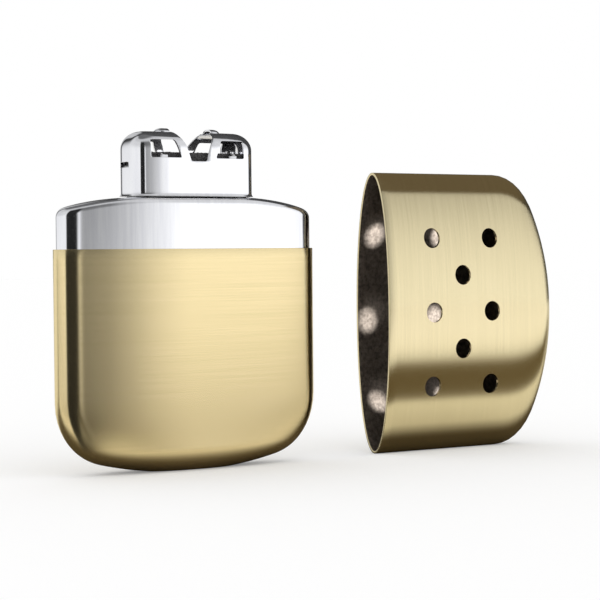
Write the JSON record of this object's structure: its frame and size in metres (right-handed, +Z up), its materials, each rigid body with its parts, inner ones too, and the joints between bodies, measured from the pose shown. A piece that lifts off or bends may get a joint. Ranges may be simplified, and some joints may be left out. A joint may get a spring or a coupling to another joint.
{
  "type": "catalytic hand warmer",
  "caption": "Pocket hand warmer that burns fuel vapour on a catalyst: cotton-filled brushed gold tank, plug-on chromed burner, and a vented gold cap standing beside it.",
  "frame": {"origin": "middle of the small flat under the tank, on the surface it stands on", "axes": "+Z up through the burner, +X across the tank towards the cap, -Y out of the front face"},
  "size_m": [0.1372, 0.0136, 0.0759],
  "materials": {
    "gold_brass": "brushed in fine straight lines, then satin gold plated",
    "chromed_brass": "polished and chrome plated",
    "soft_solder": "dull grey soft solder, as it flowed",
    "stainless_sheet": "thin stainless sheet and wire, plain",
    "spring_steel": "blued spring strip",
    "white_cotton": "carded white cotton, packed",
    "grey_felt": "pressed needle felt",
    "catalyst_fibre": "matted glass fibre, dark with platinum catalyst"
  },
  "bodies": {
    "tank": {"case_shell": "gold_brass", "tank_dome": "chromed_brass", "dome_solder_seam": "soft_solder", "neck_collar": "chromed_brass", "neck_solder_ring": "soft_solder", "cotton_guard": "stainless_sheet", "lower_cotton_pad": "white_cotton", "middle_cotton_pad": "white_cotton", "upper_cotton_pad": "white_cotton", "cotton_felt": "grey_felt", "neck_wick": "white_cotton"},
    "burner": {"burner_housing": "chromed_brass", "burner_sleeve": "stainless_sheet", "catalyst_carrier": "stainless_sheet", "catalyst_gauze": "stainless_sheet", "catalyst_mat": "catalyst_fibre", "front_grip_spring": "spring_steel", "rear_grip_spring": "spring_steel"},
    "cap": {"cap_shell": "gold_brass"}
  },
  "joints": [
    {"name": "burner_pull", "type": "slide", "parent": "tank", "child": "burner", "axis": [0, 0, 1], "range_m": [0, 0.02]},
    {"name": "cap_pull", "type": "slide", "parent": "tank", "child": "cap", "axis": [1, 0, 0], "range_m": [0, 0.027]}
  ]
}
